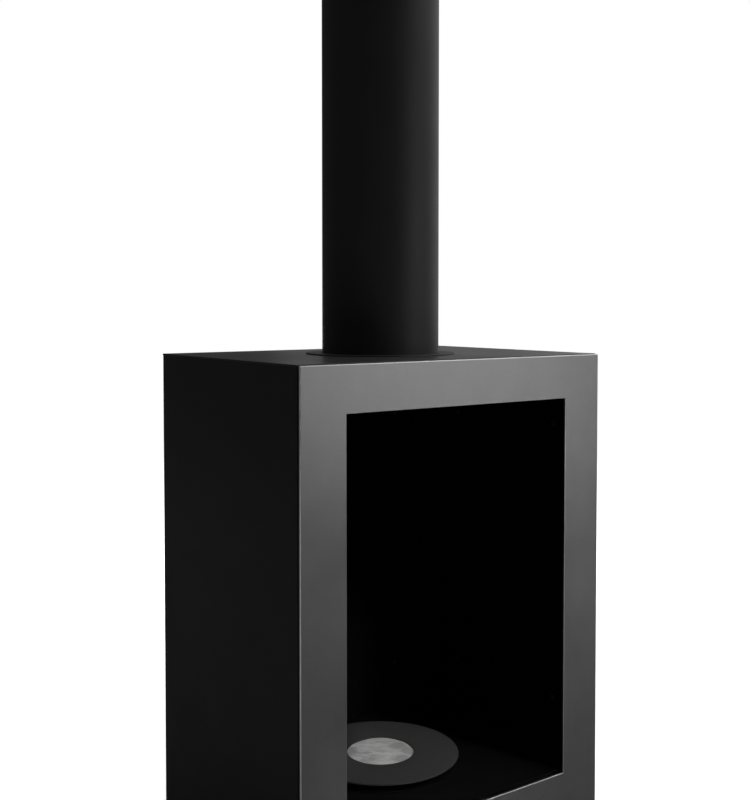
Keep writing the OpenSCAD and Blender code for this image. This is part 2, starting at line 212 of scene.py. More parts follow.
class Effect:
    """A surface effect that several finishes share, as one node group that is built once."""

    title: ClassVar[str] = ""
    knobs: ClassVar[dict[str, float]] = {}
    gives: ClassVar[tuple[str, ...]] = ()

    @classmethod
    def placed(cls, graph: Graph, **values: Any) -> Node:
        """Places the effect in a material.

        Args:
            graph: the material's graph.
            **values: values of the group's inputs, by their names in small letters with underscores.

        Returns:
            The group node.
        """
        tree = bpy.data.node_groups.get(cls.title) or cls.built()
        node = graph.add("Group", node_tree=tree)
        for name, value in values.items():
            graph.plug(node, name.replace("_", " ").title(), value)
        return node

    @classmethod
    def built(cls) -> Tree:
        """Builds the node group with its named sockets.

        Returns:
            The group's tree.
        """
        tree = bpy.data.node_groups.new(cls.title, "ShaderNodeTree")
        for name, value in cls.knobs.items():
            socket = tree.interface.new_socket(name=name, in_out="INPUT", socket_type="NodeSocketFloat")
            socket.default_value = value
        for name in cls.gives:
            tree.interface.new_socket(name=name, in_out="OUTPUT", socket_type="NodeSocketFloat")
        knobs, results = tree.nodes.new("NodeGroupInput"), tree.nodes.new("NodeGroupOutput")
        graph = Graph(tree)
        for name, socket in cls.wired(graph, {k: knobs.outputs[k] for k in cls.knobs}).items():
            graph.plug(results, name, socket)
        return tree

    @classmethod
    def wired(cls, graph: Graph, knob: dict[str, Socket]) -> dict[str, Socket]:
        """Writes the group's nodes.

        Args:
            graph: the group's graph.
            knob: the group's inputs by name.

        Returns:
            A socket for each of the group's outputs, by name.
        """
        raise NotImplementedError


class CoatGrain(Effect):
    """Baked coat on sheet steel: a fine grain, the soft peel over it and the sheet's slow waves."""

    title = "coat_grain"
    knobs = {"Grain Size": 0.5 * MM, "Grain Depth": 4e-6, "Peel Depth": 4e-6, "Wave Depth": 1e-4}
    gives = ("Height", "Tone")
    peel_waves: ClassVar[float] = 330.0
    sheet_waves: ClassVar[float] = 7.0
    cloud_waves: ClassVar[float] = 11.0
    speck_waves: ClassVar[float] = 900.0
    speck_share: ClassVar[float] = 0.35

    @classmethod
    def wired(cls, graph: Graph, knob: dict[str, Socket]) -> dict[str, Socket]:
        """Adds three noises of rising size into one height, and makes a blotchy tone.

        Args:
            graph: the group's graph.
            knob: the group's inputs by name.

        Returns:
            The height in metres, and the tone about 0.5.
        """
        place = graph.place()
        grain = graph.noise(place, graph.math("DIVIDE", 1.0, knob["Grain Size"]), 2.0, 0.6)
        peel = graph.noise(place, cls.peel_waves, 1.0, 0.4)
        wave = graph.noise(place, cls.sheet_waves, 1.0, 0.3)
        height = graph.math("MULTIPLY", grain, knob["Grain Depth"])
        height = graph.math("MULTIPLY_ADD", peel, knob["Peel Depth"], height)
        height = graph.math("MULTIPLY_ADD", wave, knob["Wave Depth"], height)
        cloud = graph.noise(place, cls.cloud_waves, 4.0, 0.55)
        speck = graph.math("SUBTRACT", graph.noise(place, cls.speck_waves, 1.0, 0.5), 0.5)
        return {"Height": height, "Tone": graph.math("MULTIPLY_ADD", speck, cls.speck_share, cloud)}


class EdgeWear(Effect):
    """Where handling has rubbed the edges: a mask of the rounded corners, broken up by noise."""

    title = "edge_wear"
    knobs = {"Width": 0.8 * MM, "Breaks": 60.0}
    gives = ("Mask",)
    bend_span: ClassVar[Point2] = (0.995, 0.86)
    break_span: ClassVar[Point2] = (0.34, 0.62)

    @classmethod
    def wired(cls, graph: Graph, knob: dict[str, Socket]) -> dict[str, Socket]:
        """Compares the surface's normal with one that is smoothed over the edges.

        Args:
            graph: the group's graph.
            knob: the group's inputs by name.

        Returns:
            The mask, 1 where an edge is rubbed.
        """
        soft = graph.add("Bevel", {"Radius": knob["Width"]}, samples=4).outputs["Normal"]
        edge = graph.ramp(graph.vector("DOT_PRODUCT", soft, graph.normal()), *cls.bend_span)
        breaks = graph.ramp(graph.noise(graph.place(), knob["Breaks"], 3.0, 0.6), *cls.break_span)
        return {"Mask": graph.math("MULTIPLY", edge, breaks)}


class SettledDust(Effect):
    """Fine dust on faces that look up, thicker in drifts."""

    title = "settled_dust"
    knobs = {"Amount": 0.1, "Drift Scale": 16.0}
    gives = ("Mask",)
    up_span: ClassVar[Point2] = (0.55, 0.98)
    speck_waves: ClassVar[float] = 1400.0

    @classmethod
    def wired(cls, graph: Graph, knob: dict[str, Socket]) -> dict[str, Socket]:
        """Multiplies how far a face looks up by drifts and fine specks.

        Args:
            graph: the group's graph.
            knob: the group's inputs by name.

        Returns:
            The mask, the dust's share of the surface.
        """
        up = graph.ramp(graph.add("SeparateXYZ", {0: graph.normal()}).outputs["Z"], *cls.up_span)
        place = graph.place()
        drift = graph.ramp(graph.noise(place, knob["Drift Scale"], 4.0, 0.6), 0.3, 0.75, 0.35, 1.0)
        speck = graph.ramp(graph.noise(place, cls.speck_waves, 1.0, 0.5), 0.38, 0.7, 0.5, 1.3)
        mask = graph.math("MULTIPLY", graph.math("MULTIPLY", up, drift), speck)
        return {"Mask": graph.math("MULTIPLY", mask, knob["Amount"], clamp=True)}


class FaceShadeAndHighlight(Effect):
    """Which parts of a frame keep the face's own colour and which take painted shade on its side faces, and a
    painted highlight along the face's rounded rim.
    """

    title = "face_shade_and_highlight"
    knobs = {"Side Limit": 0.08, "Face Limit": 0.3}
    gives = ("Mask", "Painted Highlight")
    painted_rim_span: ClassVar[Point2] = (0.985, 0.93)

    @classmethod
    def wired(cls, graph: Graph, knob: dict[str, Socket]) -> dict[str, Socket]:
        """Maps how far the surface looks to -Y onto a face and onto the painted highlight rim where it turns
        away.

        Args:
            graph: the group's graph.
            knob: the group's inputs by name.

        Returns:
            The mask of the face, rim included, outside which the side faces take painted shade; and the mask of
            the painted highlight rim and all beyond it.
        """
        facing = graph.math("MULTIPLY", graph.add("SeparateXYZ", {0: graph.normal()}).outputs["Y"], -1.0)
        mask = graph.ramp(facing, knob["Side Limit"], knob["Face Limit"])
        return {"Mask": mask, "Painted Highlight": graph.ramp(facing, *cls.painted_rim_span)}


class BrushMarks(Effect):
    """Fine lines that run round the upright axis, as on spun or turned metal."""

    title = "brush_marks"
    knobs = {"Line Width": 0.25 * MM, "Depth": 2e-6}
    gives = ("Height", "Tone")
    breaks_round: ClassVar[float] = 3.0

    @classmethod
    def wired(cls, graph: Graph, knob: dict[str, Socket]) -> dict[str, Socket]:
        """Reads noise in round coordinates that are stretched along the turning direction.

        Args:
            graph: the group's graph.
            knob: the group's inputs by name.

        Returns:
            The height in metres, and the tone about 0.5.
        """
        split = graph.add("SeparateXYZ", {0: graph.place()})
        x, y, z = (split.outputs[i] for i in range(3))
        square = graph.math("MULTIPLY_ADD", x, x, graph.math("MULTIPLY", y, y))
        reach = graph.math("SQRT", square)
        fine = graph.math("DIVIDE", 1.0, knob["Line Width"])
        turn = graph.math("MULTIPLY", graph.math("ARCTAN2", y, x), cls.breaks_round)
        wires = {0: graph.math("MULTIPLY", reach, fine), 1: turn, 2: graph.math("MULTIPLY", z, fine)}
        lines = graph.noise(graph.add("CombineXYZ", wires).outputs[0], 1.0, 3.0, 0.65)
        return {"Height": graph.math("MULTIPLY", lines, knob["Depth"]), "Tone": lines}


# ---------------------------------------------------------------- finishes


@dataclass(frozen=True)
class Finish:
    """What every finish can do: turn itself into one Blender material."""

    title: str
    colour: Colour
    roughness: float
    tone_span: ClassVar[Point2] = (0.3, 0.7)

    def material(self) -> Material:
        """Makes the material and lets the finish write its nodes.

        Returns:
            The new material.
        """
        material = bpy.data.materials.new(self.title)
        material.use_nodes = True
        tree = material.node_tree
        self.paint(Graph(tree), tree.nodes["Principled BSDF"])
        material.diffuse_color = (*self.colour, 1.0)
        return material

    def paint(self, graph: Graph, shader: Node) -> None:
        """Writes the finish's nodes into the material.

        Args:
            graph: the material's graph.
            shader: its Principled shader.
        """
        raise NotImplementedError


@dataclass(frozen=True)
class Coat(Finish):
    """A baked powder coat or stove paint on steel."""

    specular: float = 0.5
    flake: float = 0.0
    grain_size: float = 0.6 * MM
    grain_depth: float = 5e-6
    peel_depth: float = 4e-6
    wave_depth: float = 6e-5
    mottle: float = 0.12
    wear: float = 0.35
    wear_width: float = 0.7 * MM
    # Colour of rubbed edges, and of the painted highlight on a front rim.
    wear_and_highlight_colour: Colour = (0.16, 0.16, 0.165)
    worn_polish: float = 0.12
    dust: float = 0.05
    dust_colour: Colour = (0.34, 0.33, 0.31)
    dust_roughness: float = 0.5
    # Near-black painted shade on a piece's side faces; None for a coat without it.
    side_shade_colour: Colour | None = None

    def paint(self, graph: Graph, shader: Node) -> None:
        """Mottled colour, rubbed edges, dust on top and a grain in the bump; where a side shade colour is given,
        also a painted highlight on the front rim and painted shade on the side faces.

        Args:
            graph: the material's graph.
            shader: its Principled shader.
        """
        grain = CoatGrain.placed(
            graph, grain_size=self.grain_size, grain_depth=self.grain_depth, peel_depth=self.peel_depth,
            wave_depth=self.wave_depth,
        ).outputs
        tone, base = grain["Tone"], self.roughness
        dark, light = (tuple(c * (1.0 + shift) for c in self.colour) for shift in (-self.mottle, self.mottle))
        colour = graph.blend(graph.ramp(tone, *self.tone_span), dark, light)
        # Rubbed edges; on the frame their bright colour is partly a painted highlight.
        rubbed = EdgeWear.placed(graph, width=self.wear_width).outputs["Mask"]
        worn = graph.math("MULTIPLY", rubbed, self.wear)
        colour = graph.blend(worn, colour, self.wear_and_highlight_colour)
        dusty = SettledDust.placed(graph, amount=self.dust).outputs["Mask"]
        colour = graph.blend(dusty, colour, self.dust_colour)
        rough = graph.ramp(tone, *self.tone_span, base * 0.94, base * 1.06)
        rough = graph.math("MULTIPLY_ADD", dusty, self.dust_roughness, rough)
        rough = graph.math("MULTIPLY_ADD", worn, -self.worn_polish, rough, clamp=True)
        metallic: Any = self.flake
        if self.side_shade_colour:
            face = FaceShadeAndHighlight.placed(graph).outputs
            # Painted highlight along the front face's rounded rim.
            colour = graph.blend(face["Painted Highlight"], colour, self.wear_and_highlight_colour)
            # Painted shade: the side faces turn near-black and lose their metal flake.
            colour = graph.blend(face["Mask"], self.side_shade_colour, colour)
            metallic = graph.math("MULTIPLY", face["Mask"], self.flake)
        graph.plug(shader, "Metallic", metallic)
        graph.plug(shader, "Base Color", colour)
        graph.plug(shader, "Roughness", rough)
        graph.plug(shader, "Specular IOR Level", self.specular)
        graph.bump(shader, grain["Height"])


@dataclass(frozen=True)
class BareMetal(Finish):
    """Bare or plated metal: brushed stainless steel and bright zinc."""

    line_width: float = 0.25 * MM
    line_depth: float = 2e-6
    stain: Colour = (0.32, 0.31, 0.30)
    stain_share: float = 0.25
    stain_roughness: float = 0.5

    def paint(self, graph: Graph, shader: Node) -> None:
        """Brush lines in the bump and the gloss, and a thin stain in patches.

        Args:
            graph: the material's graph.
            shader: its Principled shader.
        """
        brush = BrushMarks.placed(graph, line_width=self.line_width, depth=self.line_depth).outputs
        grain = CoatGrain.placed(graph, grain_depth=0.0, wave_depth=0.0).outputs
        patch = graph.math("MULTIPLY", graph.ramp(grain["Tone"], 0.42, 0.72), self.stain_share)
        rough = graph.ramp(brush["Tone"], *self.tone_span, self.roughness * 0.85, self.roughness * 1.2)
        rough = graph.math("MULTIPLY_ADD", patch, self.stain_roughness, rough, clamp=True)
        graph.plug(shader, "Base Color", graph.blend(patch, self.colour, self.stain))
        graph.plug(shader, "Roughness", rough)
        graph.plug(shader, "Metallic", 1.0)
        graph.bump(shader, brush["Height"])


@dataclass(frozen=True)
class FibreWool(Finish):
    """Ceramic fibre: matte, pale, matted in lumps, with painted shade in its folds, a random darker tone, and
    painted shade in a few spots by the ring.
    """

    specular: float = 0.2
    sheen: float = 0.25
    sheen_roughness: float = 0.5
    # Painted shade in the folds: a darker colour where the fibre noise is low.
    fold_shade_colour: Colour = (0.3, 0.3, 0.298)
    fold_shade_span: Point2 = (0.34, 0.62)
    # Towards this side the painted fold shade fades out.
    less_fold_shade_side: Point2 = (0.807, -0.59)
    less_fold_shade_span: Point2 = (-8 * MM, 16 * MM)
    less_fold_shade_share: float = 0.7
    wander: float = 14 * MM
    wander_waves: float = 70.0
    fibre_waves: Point3 = (160.0, 1100.0, 500.0)
    fibre_share: float = 0.3
    fibre_depth: float = 0.22 * MM
    tuft_waves: Point3 = (55.0, 130.0, 90.0)
    tuft_share: float = 0.7
    lump_waves: float = 120.0
    lump_depth: float = 0.9 * MM
    bump_strength: float = 0.8
    # A random darker tone, and painted shade in the spots listed below.
    dark_tone_and_shade: float = 0.62
    dark_tone_and_shade_colour: Colour = (0.17, 0.169, 0.168)
    dark_tone_waves: float = 34.0
    shade_spot_reach: float = 17 * MM
    shade_spots: tuple[Point2, ...] = (
        (35 * MM, 8 * MM), (38 * MM, -14 * MM), (16 * MM, -30 * MM), (-28 * MM, 30 * MM),
    )

    def paint(self, graph: Graph, shader: Node) -> None:
        """Fibres from stretched noise, painted shade in the folds that fades on one side, a soft velvet edge,
        and a darker tone with spots of painted shade.

        Args:
            graph: the material's graph.
            shader: its Principled shader.
        """
        place = graph.place()
        wires = {"Vector": place, "Scale": self.wander_waves, "Detail": 2.0}
        bent = graph.add("TexNoise", wires).outputs["Color"]
        pushed = graph.vector("ADD", place, graph.vector("MULTIPLY", bent, (self.wander,) * 3))
        turn = {"Vector": pushed, "Rotation": (0.0, 0.0, math.radians(-WOOL_LIE_DEG))}
        laid = graph.add("Mapping", turn).outputs[0]
        fibre = graph.noise(graph.stretched(laid, self.fibre_waves), 1.0, 4.0, 0.65)
        tuft = graph.noise(graph.stretched(laid, self.tuft_waves), 1.0, 3.0, 0.55)
        tufted = graph.math("MULTIPLY", tuft, self.tuft_share)
        shade = graph.math("MULTIPLY_ADD", fibre, self.fibre_share, tufted)
        side = graph.vector("DOT_PRODUCT", place, (*self.less_fold_shade_side, 0.0))
        # The painted fold shade fades out on one side.
        less_fold_shade = graph.ramp(side, *self.less_fold_shade_span, 0.0, self.less_fold_shade_share)
        shaded_fold = graph.blend(less_fold_shade, self.fold_shade_colour, self.colour)
        # Painted shade in the folds.
        colour = graph.blend(graph.ramp(shade, *self.fold_shade_span), shaded_fold, self.colour)
        # A random darker tone, and painted shade in a few spots.
        colour = graph.blend(self.dark_tone_and_shade_share(graph, place, pushed), colour, self.dark_tone_and_shade_colour)
        graph.plug(shader, "Base Color", colour)
        graph.plug(shader, "Roughness", self.roughness)
        graph.plug(shader, "Specular IOR Level", self.specular)
        graph.plug(shader, "Sheen Weight", self.sheen)
        graph.plug(shader, "Sheen Roughness", self.sheen_roughness)
        lump = graph.noise(place, self.lump_waves, 3.0, 0.6)
        nap = graph.math("MULTIPLY", fibre, self.fibre_depth)
        height = graph.math("MULTIPLY_ADD", lump, self.lump_depth, nap)
        graph.bump(shader, height, self.bump_strength)

    def dark_tone_and_shade_share(self, graph: Graph, place: Socket, pushed: Socket) -> Socket:
        """Where the wool is darker: a random tone thin all over, and painted shade thick in a few spots by the
        ring.

        Args:
            graph: the material's graph.
            place: the shaded point.
            pushed: the same point, moved as the fibres wander.

        Returns:
            The darker colour's share.
        """
        flat = graph.vector("MULTIPLY", pushed, (1.0, 1.0, 0.0))
        # A random darker tone, thin all over.
        dark_tone_and_shade = graph.ramp(graph.noise(place, self.dark_tone_waves, 2.0, 0.5), 0.44, 0.66, 0.0, 0.4 * self.dark_tone_and_shade)
        # Painted shade in a few spots, given one by one.
        for x, y in self.shade_spots:
            away = graph.vector("DISTANCE", flat, (x, y, 0.0))
            spot = graph.ramp(away, 0.45 * self.shade_spot_reach, self.shade_spot_reach, self.dark_tone_and_shade, 0.0)
            dark_tone_and_shade = graph.math("MAXIMUM", dark_tone_and_shade, spot)
        return dark_tone_and_shade


@dataclass(frozen=True)
class MouldedPlastic(Finish):
    """Heat-proof moulded plastic with a fine spark-eroded skin."""

    skin_size: float = 0.35 * MM
    skin_depth: float = 8e-6
    rub: float = 0.5
    rub_width: float = 0.6 * MM
    rub_breaks: float = 140.0
    rub_colour: Colour = (0.07, 0.07, 0.07)

    def paint(self, graph: Graph, shader: Node) -> None:
        """A fine skin in the bump, rubbed edges and uneven gloss.

        Args:
            graph: the material's graph.
            shader: its Principled shader.
        """
        grain = CoatGrain.placed(
            graph, grain_size=self.skin_size, grain_depth=self.skin_depth, wave_depth=0.0
        ).outputs
        worn = EdgeWear.placed(graph, width=self.rub_width, breaks=self.rub_breaks).outputs["Mask"]
        rubbed = graph.math("MULTIPLY", worn, self.rub)
        graph.plug(shader, "Base Color", graph.blend(rubbed, self.colour, self.rub_colour))
        rough = graph.ramp(grain["Tone"], *self.tone_span, self.roughness * 0.85, self.roughness * 1.15)
        graph.plug(shader, "Roughness", rough)
        graph.bump(shader, grain["Height"])


class Slot(Enum):
    """The record's material slots."""

    FRAME_GREY = "frame_grey"
    CASING_BLACK = "casing_black"
    TOP_BLACK = "top_black"
    FIREBOX_BLACK = "firebox_black"
    PIPE_BLACK = "pipe_black"
    RING_GREY = "ring_grey"
    SCREW_BLACK = "screw_black"
    ZINC = "zinc"
    STAINLESS = "stainless"
    CERAMIC_WOOL = "ceramic_wool"
    KNOB_BLACK = "knob_black"
    FOOT_BLACK = "foot_black"


FINISHES: dict[Slot, Finish] = {
    # The frame's bright edge colour is partly rubbed wear and partly a painted highlight along its rounded
    # edges; its side faces take a near-black painted shade.
    Slot.FRAME_GREY: Coat(
        "frame_grey_coat", (0.24, 0.24, 0.241), 0.33, flake=0.75, mottle=0.07, wear=0.7, wear_width=0.9 * MM,
        wear_and_highlight_colour=grey(0.8), wave_depth=3e-5, dust=0.03, side_shade_colour=grey(0.008),
    ),
    Slot.CASING_BLACK: Coat(
        "casing_black_coat", (0.007, 0.007, 0.0073), 0.46, specular=0.4, wear=0.25, dust=0.03,
    ),
    Slot.TOP_BLACK: Coat("top_black_coat", (0.016, 0.016, 0.017), 0.42, wear=0.3, dust=0.06),
    Slot.FIREBOX_BLACK: Coat(
        "firebox_stove_paint", grey(0.003), 0.8, specular=0.06, grain_depth=1.4e-5, wear=0.0, dust=0.0,
    ),
    Slot.PIPE_BLACK: Coat("pipe_stove_paint", grey(0.0075), 0.56, grain_depth=8e-6, wear=0.3, dust=0.03),
    Slot.RING_GREY: Coat(
        "blasted_dark_steel", grey(0.039), 0.65, specular=0.3, grain_depth=1e-5, wave_depth=0.0, wear=0.2,
        wear_and_highlight_colour=grey(0.1), dust=0.0,
    ),
    Slot.SCREW_BLACK: Coat(
        "black_zinc", grey(0.012), 0.45, wear=0.3, wear_and_highlight_colour=(0.12, 0.12, 0.125), dust=0.0,
    ),
    Slot.ZINC: BareMetal("bright_zinc", (0.52, 0.52, 0.54), 0.34, stain_share=0.35),
    Slot.STAINLESS: BareMetal("brushed_stainless", (0.56, 0.56, 0.57), 0.26),
    Slot.CERAMIC_WOOL: FibreWool("ceramic_fibre", (0.5, 0.5, 0.497), 0.95),
    Slot.KNOB_BLACK: MouldedPlastic("knob_plastic", grey(0.02), 0.38),
    Slot.FOOT_BLACK: MouldedPlastic("foot_plastic", grey(0.02), 0.5),
}


# ---------------------------------------------------------------- mesh making

# Below this, a length or a radius counts as none.
TINY = 1e-9
# Points closer than this are one point.
TOUCHING = 1e-7
MICRON = 1e-6


def filleted(profile: Sequence[Point2], radius: float, steps: int = 4) -> list[Point2]:
    """Rounds every corner of a closed profile.

    Args:
        profile: the corners, in order.
        radius: how far from a corner its round starts, where the sides allow it.
        steps: how many steps each round takes.

    Returns:
        The rounded profile.
    """
    rounded: list[Point2] = []
    count, most = len(profile), 0.45
    for i, corner in enumerate(profile):
        here = Vector(corner)
        before, after = Vector(profile[i - 1]) - here, Vector(profile[(i + 1) % count]) - here
        if min(before.length, after.length) < TINY or corner[0] < TINY:
            rounded.append(corner)
            continue
        reach = min(radius, most * before.length, most * after.length)
        first, last = here + before.normalized() * reach, here + after.normalized() * reach
        for step in range(steps + 1):
            t = step / steps
            point = first * (1 - t) ** 2 + here * 2 * t * (1 - t) + last * t**2
            rounded.append((point.x, point.y))
    return rounded


def filleted_run(corners: Sequence[Point2], radius: float) -> list[Point2]:
    """Rounds the corners of an open run of a profile, as if it came from below and went on down.

    Args:
        corners: the run, in order.
        radius: size of the rounds.

    Returns:
        The rounded run.
    """
    steps, lead = 4, 10 * MM
    (first_x, first_z), (last_x, last_z) = corners[0], corners[-1]
    rounded = filleted([(first_x, first_z - lead), *corners, (last_x, last_z - lead)], radius, steps)
    return rounded[steps + 1:-steps - 1]


def mesh_piece(
    name: str, points: Sequence[Sequence[float]], faces: Sequence[Sequence[int]], sharp_deg: float = 35.0
) -> Piece:
    """Makes a piece from points and faces, smooth but for its sharp edges.

    Args:
        name: the piece's name.
        points: its vertices.
        faces: its faces, as vertex numbers.
        sharp_deg: the angle between two faces above which their edge stays sharp.

    Returns:
        The new object, linked to the scene.
    """
    mesh = bpy.data.meshes.new(name)
    mesh.from_pydata([tuple(p) for p in points], [], [tuple(f) for f in faces])
    work = bmesh.new()
    work.from_mesh(mesh)
    bmesh.ops.remove_doubles(work, verts=work.verts, dist=TOUCHING)
    bmesh.ops.recalc_face_normals(work, faces=work.faces)
    work.to_mesh(mesh)
    work.free()
    mesh.shade_smooth()
    mesh.set_sharp_from_angle(angle=math.radians(sharp_deg))
    piece = bpy.data.objects.new(name, mesh)
    bpy.context.scene.collection.objects.link(piece)
    return piece


def turned(
    name: str, profile: Sequence[Point2], segments: int = 128, centre: Point2 = (0.0, 0.0),
    shape: Shape | None = None,
) -> Piece:
    """Turns a closed profile round an upright axis.

    Args:
        name: the piece's name.
        profile: radius and height of each corner, in order round the section.
        segments: how many steps the turn takes.
        centre: where the axis stands.
        shape: gives a point's own radius and height from its radius, height and angle, or None.

    Returns:
        The turned piece.
    """
    points: list[Point3] = []
    faces: list[tuple[int, ...]] = []
    count = len(profile)
    for step in range(segments):
        angle = 2 * math.pi * step / segments
        for radius, height in profile:
            r, z = shape(radius, height, angle) if shape else (radius, height)
            points.append((centre[0] + r * math.cos(angle), centre[1] + r * math.sin(angle), z))
    for step in range(segments):
        near, far = step * count, (step + 1) % segments * count
        for i in range(count):
            j = (i + 1) % count
            if profile[i][0] < TINY and profile[j][0] < TINY:
                continue
            faces.append((near + i, far + i, far + j, near + j))
    piece = mesh_piece(name, points, faces)
    tidy_poles(piece)
    return piece


def tidy_poles(piece: Piece) -> None:
    """Drops the faces of a turned mesh that have shrunk to lines on its axis.

    Args:
        piece: the turned piece.
    """
    work = bmesh.new()
    work.from_mesh(piece.data)
    bmesh.ops.dissolve_degenerate(work, edges=work.edges, dist=TOUCHING)
    work.to_mesh(piece.data)
    work.free()


def standing(node: str) -> tuple[Vector, Vector, Point2, float]:
    """Where an upright round node stands.

    Args:
        node: its name.

    Returns:
        Its lowest and highest corners, its axis and its radius.
    """
    low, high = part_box(node)
    return low, high, ((low.x + high.x) / 2, (low.y + high.y) / 2), (high.x - low.x) / 2


def long_edge_marks() -> Tree:
    """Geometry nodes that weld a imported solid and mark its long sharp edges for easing.

    Only long edges are marked, so holes, slots and corners stay crisp.

    Returns:
        The node tree, built on its first use.
    """
    title, weld_reach, long_edge, sharp_deg = "long_edge_marks", 0.01 * MM, 40 * MM, 30.0
    tree = bpy.data.node_groups.get(title)
    if tree:
        return tree
    tree = bpy.data.node_groups.new(title, "GeometryNodeTree")
    for side in ("INPUT", "OUTPUT"):
        tree.interface.new_socket(name="Geometry", in_out=side, socket_type="NodeSocketGeometry")
    kinds = (
        "NodeGroupInput", "NodeGroupOutput", "GeometryNodeMergeByDistance",
        "GeometryNodeInputMeshEdgeVertices", "GeometryNodeInputMeshEdgeAngle", "ShaderNodeVectorMath",
        "ShaderNodeMath", "ShaderNodeMath", "ShaderNodeMath", "GeometryNodeStoreNamedAttribute",
    )
    given, result, weld, ends, angle, span, is_long, is_sharp, both, store = map(tree.nodes.new, kinds)
    weld.inputs["Distance"].default_value = weld_reach
    span.operation = "DISTANCE"
    is_long.operation = is_sharp.operation = "GREATER_THAN"
    is_long.inputs[1].default_value, is_sharp.inputs[1].default_value = long_edge, math.radians(sharp_deg)
    both.operation, store.data_type, store.domain = "MULTIPLY", "FLOAT", "EDGE"
    store.inputs["Name"].default_value = "bevel_weight_edge"
    for source, target in (
        (given.outputs[0], weld.inputs["Geometry"]),
        (ends.outputs["Position 1"], span.inputs[0]),
        (ends.outputs["Position 2"], span.inputs[1]),
        (span.outputs["Value"], is_long.inputs[0]),
        (angle.outputs["Unsigned Angle"], is_sharp.inputs[0]),
        (is_long.outputs[0], both.inputs[0]),
        (is_sharp.outputs[0], both.inputs[1]),
        (weld.outputs["Geometry"], store.inputs["Geometry"]),
        (both.outputs[0], store.inputs["Value"]),
        (store.outputs["Geometry"], result.inputs[0]),
    ):
        tree.links.new(source, target)
    return tree


# ---------------------------------------------------------------- sub-assemblies


@dataclass
class Bench:
    """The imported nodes, the finishes made so far, and the ways to fit a piece."""

    nodes: dict[str, Piece]
    made: dict[Slot, Material] = field(default_factory=dict)
    ease_steps: int = 3
    shade_weight: int = 60

    def material(self, slot: Slot) -> Material:
        """Gives the one material of a slot.

        Args:
            slot: the slot.

        Returns:
            Its material, made on its first use.
        """
        if slot not in self.made:
            self.made[slot] = FINISHES[slot].material()
        return self.made[slot]

    def dress(self, node: str, slot: Slot, ease: float = 0.0) -> None:
        """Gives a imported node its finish, and eased edges if asked.

        Args:
            node: the node's name.
            slot: its finish.
            ease: width of the rounding on its long edges, or 0 for none.
        """
        piece = self.nodes[node]
        if ease > 0:
            piece.modifiers.new("marks", "NODES").node_group = long_edge_marks()
            bevel = piece.modifiers.new("ease", "BEVEL")
            bevel.width, bevel.segments, bevel.limit_method = ease, self.ease_steps, "WEIGHT"
            bevel.use_clamp_overlap = False
            smooth = piece.modifiers.new("shade", "WEIGHTED_NORMAL")
            smooth.keep_sharp, smooth.weight = True, self.shade_weight
        if not piece.data.materials:
            piece.data.materials.append(None)
        for place in piece.material_slots:
            place.material = self.material(slot)
        LOG.info("%s: packed solid, %s", node, slot.value)

    def fit(self, piece: Piece, body: str, slot: Slot, stands_for: str) -> Piece:
        """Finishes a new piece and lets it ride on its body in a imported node's stead.

        Args:
            piece: the piece, in place.
            body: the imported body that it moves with.
            slot: its finish.
            stands_for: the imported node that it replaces.

        Returns:
            The same piece.
        """
        piece.data.materials.clear()
        piece.data.materials.append(self.material(slot))
        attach(piece, body)
        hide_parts(stands_for)
        LOG.info("%s: on %s, %s", piece.name, body, slot.value)
        return piece


@dataclass
class Casing:
    """The sheet-steel box: panels, base, back, rails, and the back's screws."""

    sheets: tuple[str, ...] = (
        "left_side_panel", "right_side_panel", "left_hearth_rail", "right_hearth_rail", "rear_hearth_rail",
    )
    sheet_ease: float = 0.3 * MM
    back_ease: float = 0.25 * MM

    def build(self, bench: Bench) -> None:
        """Dresses the panels, the rails, the base, the back and its screws.

        Args:
            bench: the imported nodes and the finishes.
        """
        for node in self.sheets:
            bench.dress(node, Slot.CASING_BLACK, self.sheet_ease)
        bench.dress("base_plate", Slot.CASING_BLACK)
        bench.dress("top_panel", Slot.TOP_BLACK, self.sheet_ease)
        bench.dress("back_panel", Slot.CASING_BLACK, self.back_ease)
        bench.dress("back_screws", Slot.SCREW_BLACK)


@dataclass
class FrontFrame:
    """The thick grey frame round the window, on its studs, spacers and nuts."""

    ease: float = 0.55 * MM
    fixings: tuple[str, ...] = ("frame_studs", "frame_spacers", "frame_nuts")

    def build(self, bench: Bench) -> None:
        """Dresses the frame and its hidden fixings.

        Args:
            bench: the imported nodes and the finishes.
        """
        bench.dress("front_frame", Slot.FRAME_GREY, self.ease)
        for node in self.fixings:
            bench.dress(node, Slot.ZINC)


@dataclass
class Firebox:
    """The hot black liner round the flame, its roof and hearth, and the tray under them."""

    sheets: tuple[str, ...] = ("left_liner", "right_liner", "rear_liner", "firebox_roof", "hearth_plate")
    ease: float = 0.3 * MM
    tray_wall: float = 1.2 * MM
    tray_bend: float = 2.5 * MM

    def build(self, bench: Bench) -> None:
        """Dresses the liner and turns the tray.

        Args:
            bench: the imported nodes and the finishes.
        """
        for node in self.sheets:
            bench.dress(node, Slot.FIREBOX_BLACK, self.ease)
        bench.dress("liner_standoffs", Slot.ZINC)
        bench.dress("liner_screws", Slot.SCREW_BLACK)
        bench.fit(self.tray(), "casing", Slot.STAINLESS, "overflow_tray")

    def tray(self) -> Piece:
        """Spins a dish with a soft bend at its foot and a rounded rim.

        Returns:
            The tray.
        """
        low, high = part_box("overflow_tray")
        reach, floor, rim, wall = high.x, low.z, high.z, self.tray_wall
        corners = [
            (0, floor), (reach, floor), (reach, rim), (reach - wall, rim), (reach - wall, floor + wall),
            (0, floor + wall),
        ]
        return turned("spun_tray", filleted(corners, self.tray_bend, 6), 160)


